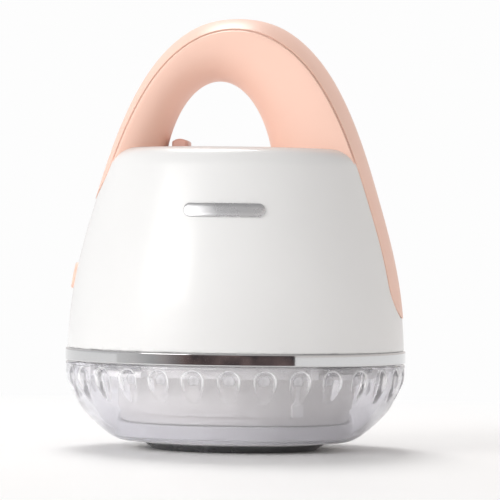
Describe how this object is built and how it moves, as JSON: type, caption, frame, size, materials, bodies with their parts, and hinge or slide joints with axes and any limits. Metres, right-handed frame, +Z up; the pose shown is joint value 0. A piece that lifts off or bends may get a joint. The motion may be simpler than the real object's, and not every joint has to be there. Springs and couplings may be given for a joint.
{
  "type": "fabric shaver",
  "caption": "Rechargeable fabric shaver: egg-shaped white body, arched pink carrying grip with a slide switch, chrome ring, fluted clear lint cup and a round perforated foil.",
  "frame": {"origin": "centre of the flat middle of the foil, at the lowest point of the standing shaver", "axes": "+Z up along the motor shaft, +X towards the long tongue of the grip band, -Y towards the front with the plain bar"},
  "size_m": [0.086, 0.086, 0.1086],
  "materials": {
    "white_shell": "high gloss",
    "pink_grip": "satin gloss",
    "rose_knob": "satin",
    "chrome_trim": "mirror plated",
    "clear_cup": "clear, faint violet tint",
    "housing_grey": "satin",
    "foil_ring_grey": "satin",
    "frame_grey": "moulded",
    "hub_plastic": "moulded",
    "black_plastic": "moulded",
    "board_green": "solder mask",
    "battery_case": null,
    "contact_brass": "bright",
    "screw_steel": "zinc plated",
    "socket_steel": "bright",
    "motor_steel": "satin",
    "core_steel": "laminated",
    "spring_steel": "drawn wire",
    "blade_steel": "ground",
    "foil_steel": "perforated, etched",
    "magnet_grey": "sintered"
  },
  "bodies": {
    "housing": {"body_shell": "white_shell", "handle_band": "pink_grip", "handle_front_half": "pink_grip", "handle_rear_half": "pink_grip", "handle_screws": "screw_steel", "trim_ring": "chrome_trim", "front_badge": "chrome_trim", "switch_bezel": "white_shell", "switch_body": "black_plastic", "circuit_board": "board_green", "board_components": "black_plastic", "charge_socket": "socket_steel", "socket_surround": "pink_grip", "inner_frame": "frame_grey", "battery_cell": "battery_case", "battery_contacts": "contact_brass", "cutter_housing": "housing_grey", "housing_screws": "screw_steel", "motor_can": "motor_steel", "motor_bush": "contact_brass", "motor_end_cap": "black_plastic", "motor_terminals": "contact_brass", "motor_magnets": "magnet_grey", "motor_screws": "screw_steel"},
    "power_slider": {"power_knob": "rose_knob"},
    "rotor": {"motor_shaft": "motor_steel", "motor_armature": "core_steel", "drive_adapter": "frame_grey", "cutter_screw": "screw_steel", "cutter_spring": "spring_steel"},
    "cutter": {"cutter_hub": "hub_plastic", "cutter_blades": "blade_steel"},
    "lint_cup": {"lint_cup": "clear_cup"},
    "foil_head": {"foil_ring": "foil_ring_grey", "foil_screen": "foil_steel"}
  },
  "joints": [
    {"name": "power_slide", "type": "slide", "parent": "housing", "child": "power_slider", "axis": [1, 0, 0], "range_m": [0, 0.008]},
    {"name": "rotor_spin", "type": "hinge", "parent": "housing", "child": "rotor", "pos_m": [0, 0, 0.03], "axis": [0, 0, 1], "continuous": true},
    {"name": "cutter_float", "type": "slide", "parent": "rotor", "child": "cutter", "axis": [0, 0, 1], "range_m": [0, 0.0008], "stiffness_N_per_m": 300, "springref_m": -0.002, "deforming": ["cutter_spring"]},
    {"name": "cup_twist", "type": "hinge", "parent": "housing", "child": "lint_cup", "pos_m": [0, 0, 0.02], "axis": [0, 0, 1], "range_deg": [0, 30]},
    {"name": "foil_twist", "type": "hinge", "parent": "housing", "child": "foil_head", "pos_m": [0, 0, 0.005], "axis": [0, 0, 1], "range_deg": [0, 30]}
  ]
}
